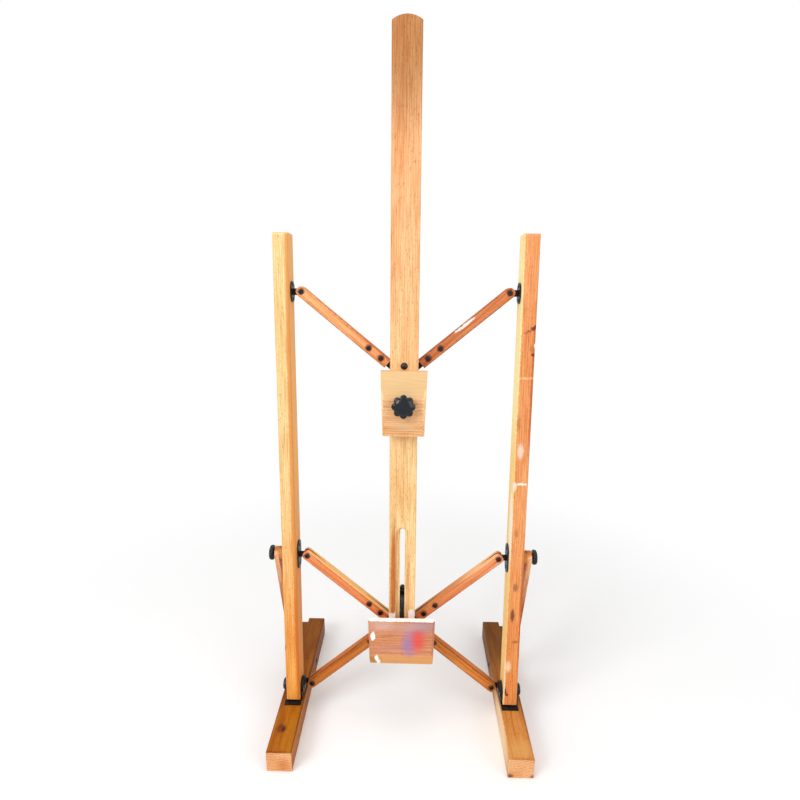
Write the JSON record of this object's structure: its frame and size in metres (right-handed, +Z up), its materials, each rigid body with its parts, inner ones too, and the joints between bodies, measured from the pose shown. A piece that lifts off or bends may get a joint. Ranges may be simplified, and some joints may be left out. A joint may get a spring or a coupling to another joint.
{
  "type": "studio easel",
  "caption": "Wooden H-frame studio easel: tilting posts on long feet, folding arms, a slotted mast with a canvas tray and a sliding top holder.",
  "frame": {"origin": "on the floor, at the middle of the easel's bounding box, between the feet", "axes": "+Z up, +X to the right as seen from the painter's side, +Y away from the painter, towards the rear ends of the feet"},
  "size_m": [0.618, 0.443, 1.5283],
  "materials": {
    "wood": "oiled beech, satin",
    "wood_dark": "oiled beech, satin, darker from use",
    "steel_black": "black satin",
    "plastic_gloss": "black gloss",
    "plastic_black": "black matt"
  },
  "bodies": {
    "foot_left": {"foot_left": "wood_dark", "foot_bracket_left": "steel_black", "foot_screws_left": "steel_black", "brace_pivot_left": "steel_black"},
    "brace_left": {"brace_left": "wood"},
    "post_left": {"post_left": "wood", "upper_hinge_left": "steel_black", "middle_hinge_left": "steel_black", "lower_hinge_left": "steel_black", "hinge_screws_left": "steel_black", "tilt_bolt_left": "steel_black", "brace_bolt_left": "steel_black", "brace_spacer_left": "wood_dark"},
    "brace_knob_left": {"brace_knob_left": "plastic_gloss"},
    "upper_arm_left": {"upper_arm_left": "wood", "upper_strap_left": "steel_black", "upper_arm_screws_left": "steel_black"},
    "middle_arm_left": {"middle_arm_left": "wood", "middle_strap_left": "steel_black", "middle_arm_screws_left": "steel_black"},
    "lower_arm_left": {"lower_arm_left": "wood", "lower_strap_left": "steel_black", "lower_arm_screws_left": "steel_black"},
    "foot_right": {"foot_right": "wood_dark", "foot_bracket_right": "steel_black", "foot_screws_right": "steel_black", "brace_pivot_right": "steel_black"},
    "brace_right": {"brace_right": "wood"},
    "post_right": {"post_right": "wood", "upper_hinge_right": "steel_black", "middle_hinge_right": "steel_black", "lower_hinge_right": "steel_black", "hinge_screws_right": "steel_black", "tilt_bolt_right": "steel_black", "brace_bolt_right": "steel_black", "brace_spacer_right": "wood_dark"},
    "brace_knob_right": {"brace_knob_right": "plastic_gloss"},
    "upper_arm_right": {"upper_arm_right": "wood", "upper_strap_right": "steel_black", "upper_arm_screws_right": "steel_black"},
    "middle_arm_right": {"middle_arm_right": "wood", "middle_strap_right": "steel_black", "middle_arm_screws_right": "steel_black"},
    "lower_arm_right": {"lower_arm_right": "wood", "lower_strap_right": "steel_black", "lower_arm_screws_right": "steel_black"},
    "mast": {"mast": "wood", "upper_bracket": "steel_black", "middle_bracket": "steel_black", "mast_screws": "steel_black", "mast_bolt": "steel_black", "tray": "wood"},
    "carriage": {"carriage_plate": "steel_black", "carriage_runners": "plastic_black"},
    "carriage_knob": {"carriage_knob": "plastic_gloss"},
    "holder": {"holder_block": "wood", "holder_plate": "steel_black", "holder_screws": "steel_black"},
    "holder_knob": {"holder_knob": "plastic_gloss"}
  },
  "joints": [
    {"name": "tilt_left", "type": "hinge", "parent": "foot_left", "child": "post_left", "pos_m": [-0.25794, -0.0595, 0.0805], "axis": [-1, 0, 0], "range_deg": [0, 15]},
    {"name": "brace_turn_left", "type": "hinge", "parent": "foot_left", "child": "brace_left", "pos_m": [-0.28924, 0.0805, 0.025], "axis": [-1, 0, 0], "range_deg": [0, 13]},
    {"name": "brace_knob_turn_left", "type": "hinge", "parent": "post_left", "child": "brace_knob_left", "pos_m": [-0.30054, -0.02987, 0.41921], "axis": [-1, 0, 0], "range_deg": [0, 270]},
    {"name": "fold", "type": "hinge", "parent": "post_left", "child": "upper_arm_left", "pos_m": [-0.21994, 0.02489, 1.01068], "axis": [0, 0.9962, -0.0872], "range_deg": [0, 34]},
    {"name": "middle_arm_turn_left", "type": "hinge", "parent": "post_left", "child": "middle_arm_left", "pos_m": [-0.21994, -0.02723, 0.41496], "axis": [0, 0.9962, -0.0872], "range_deg": [0, 34]},
    {"name": "lower_arm_turn_left", "type": "hinge", "parent": "post_left", "child": "lower_arm_left", "pos_m": [-0.21994, -0.03369, 0.06569], "axis": [0, 0.9962, -0.0872], "range_deg": [-34, 0]},
    {"name": "mast_turn", "type": "hinge", "parent": "upper_arm_left", "child": "mast", "pos_m": [-0.017, 0.01031, 0.84403], "axis": [0, 0.9962, -0.0872], "range_deg": [-34, 0]},
    {"name": "upper_arm_turn_right", "type": "hinge", "parent": "mast", "child": "upper_arm_right", "pos_m": [0.017, 0.01031, 0.84403], "axis": [0, 0.9962, -0.0872], "range_deg": [-34, 0]},
    {"name": "post_turn_right", "type": "hinge", "parent": "upper_arm_right", "child": "post_right", "pos_m": [0.21994, 0.02489, 1.01068], "axis": [0, 0.9962, -0.0872], "range_deg": [0, 34]},
    {"name": "middle_arm_turn_right", "type": "hinge", "parent": "post_right", "child": "middle_arm_right", "pos_m": [0.21994, -0.02723, 0.41496], "axis": [0, 0.9962, -0.0872], "range_deg": [-34, 0]},
    {"name": "lower_arm_turn_right", "type": "hinge", "parent": "post_right", "child": "lower_arm_right", "pos_m": [0.21994, -0.03369, 0.06569], "axis": [0, 0.9962, -0.0872], "range_deg": [0, 34]},
    {"name": "carriage_turn", "type": "hinge", "parent": "lower_arm_left", "child": "carriage", "pos_m": [-0.017, -0.01911, 0.23235], "axis": [0, 0.9962, -0.0872], "range_deg": [0, 34]},
    {"name": "carriage_knob_turn", "type": "hinge", "parent": "carriage", "child": "carriage_knob", "pos_m": [0, -0.01226, 0.30495], "axis": [0, 0.9962, -0.0872], "range_deg": [0, 270]},
    {"name": "tilt_right", "type": "hinge", "parent": "post_right", "child": "foot_right", "pos_m": [0.25794, -0.0595, 0.0805], "axis": [1, 0, 0], "range_deg": [0, 15]},
    {"name": "brace_turn_right", "type": "hinge", "parent": "foot_right", "child": "brace_right", "pos_m": [0.28924, 0.0805, 0.025], "axis": [-1, 0, 0], "range_deg": [0, 13]},
    {"name": "brace_knob_turn_right", "type": "hinge", "parent": "post_right", "child": "brace_knob_right", "pos_m": [0.30054, -0.02987, 0.41921], "axis": [1, 0, 0], "range_deg": [0, 270]},
    {"name": "holder_slide", "type": "slide", "parent": "mast", "child": "holder", "axis": [0, -0.0872, -0.9962], "range_m": [0, 0.18]},
    {"name": "holder_knob_turn", "type": "hinge", "parent": "holder", "child": "holder_knob", "pos_m": [0, -0.07384, 0.78635], "axis": [0, -0.9962, 0.0872], "range_deg": [0, 270]}
  ],
  "couplings": [
    {"joint": "brace_turn_left", "follows": "tilt_left", "ratio": 0.797},
    {"joint": "middle_arm_turn_left", "follows": "fold", "ratio": 1},
    {"joint": "lower_arm_turn_left", "follows": "fold", "ratio": -1},
    {"joint": "mast_turn", "follows": "fold", "ratio": -1},
    {"joint": "upper_arm_turn_right", "follows": "fold", "ratio": -1},
    {"joint": "post_turn_right", "follows": "fold", "ratio": 1},
    {"joint": "middle_arm_turn_right", "follows": "fold", "ratio": -1},
    {"joint": "lower_arm_turn_right", "follows": "fold", "ratio": 1},
    {"joint": "carriage_turn", "follows": "fold", "ratio": 1},
    {"joint": "tilt_right", "follows": "tilt_left", "ratio": 1},
    {"joint": "brace_turn_right", "follows": "tilt_left", "ratio": 0.797}
  ]
}
